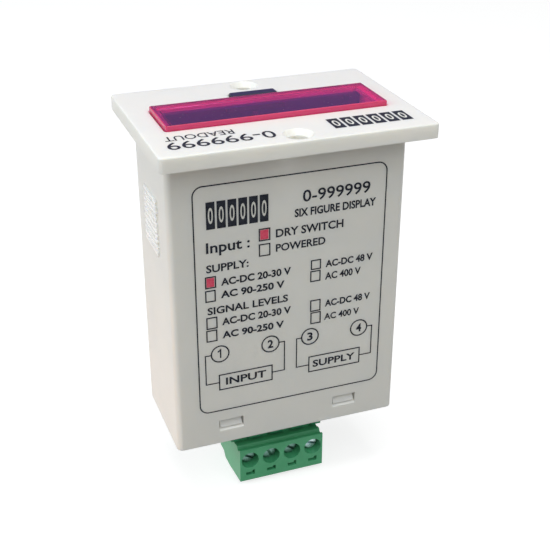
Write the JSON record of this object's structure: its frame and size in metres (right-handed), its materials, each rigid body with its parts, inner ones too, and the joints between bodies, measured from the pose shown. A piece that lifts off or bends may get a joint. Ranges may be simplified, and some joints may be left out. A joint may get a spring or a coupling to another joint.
{
  "type": "panel counter",
  "caption": "Panel-mounted counter: flanged plastic housing with a display window and reset key, and a pluggable screw terminal at its lower end.",
  "frame": {"origin": "middle of the counter's plan, at the lowest face of the terminal plug", "axes": "+Z from the terminal plug to the flange, -Y out of the printed front face, +X to the right of someone who looks at that face"},
  "size_m": [0.056, 0.04, 0.0874],
  "materials": {
    "housing_ivory": "satin moulded plastic",
    "lens_red": "clear tinted plastic, polished",
    "key_navy": "satin moulded plastic",
    "black_plastic": "moulded plastic",
    "white_plastic": "moulded plastic",
    "board_green": "lacquered circuit board",
    "display_dark": "smooth moulded plastic",
    "steel": "plated",
    "sleeve_blue": "smooth sleeve",
    "resistor_blue": "lacquered",
    "header_green": "satin moulded plastic",
    "plug_green": "satin moulded plastic",
    "tin": "tinned",
    "bronze": "smooth sprung sheet"
  },
  "bodies": {
    "counter": {"front_housing": "housing_ivory", "rear_cover": "housing_ivory", "display_lens": "lens_red", "reset_switch": "black_plastic", "display_board": "board_green", "digit_module_left": "display_dark", "digit_module_right": "display_dark", "main_board": "board_green", "board_link": "black_plastic", "controller_chip": "black_plastic", "memory_chip": "black_plastic", "crystal": "steel", "input_optocoupler": "black_plastic", "bridge_rectifier": "black_plastic", "supply_capacitor": "sleeve_blue", "output_capacitor": "black_plastic", "voltage_regulator": "black_plastic", "input_resistor": "resistor_blue", "terminal_header": "header_green", "header_pin_1": "tin", "header_pin_2": "tin", "header_pin_3": "tin", "header_pin_4": "tin", "terminal_plug": "plug_green", "clamp_screw_1": "steel", "clamp_screw_2": "steel", "clamp_screw_3": "steel", "clamp_screw_4": "steel", "wire_clamp_1": "steel", "wire_clamp_2": "steel", "wire_clamp_3": "steel", "wire_clamp_4": "steel", "contact_spring_1": "bronze", "contact_spring_2": "bronze", "contact_spring_3": "bronze", "contact_spring_4": "bronze"},
    "key": {"reset_key": "key_navy", "switch_plunger": "white_plastic"}
  },
  "joints": [
    {"name": "reset_key_press", "type": "slide", "parent": "counter", "child": "key", "axis": [0, 0, -1], "range_m": [0, 0.0005], "stiffness_N_per_m": 800, "springref_m": -0.0005}
  ]
}
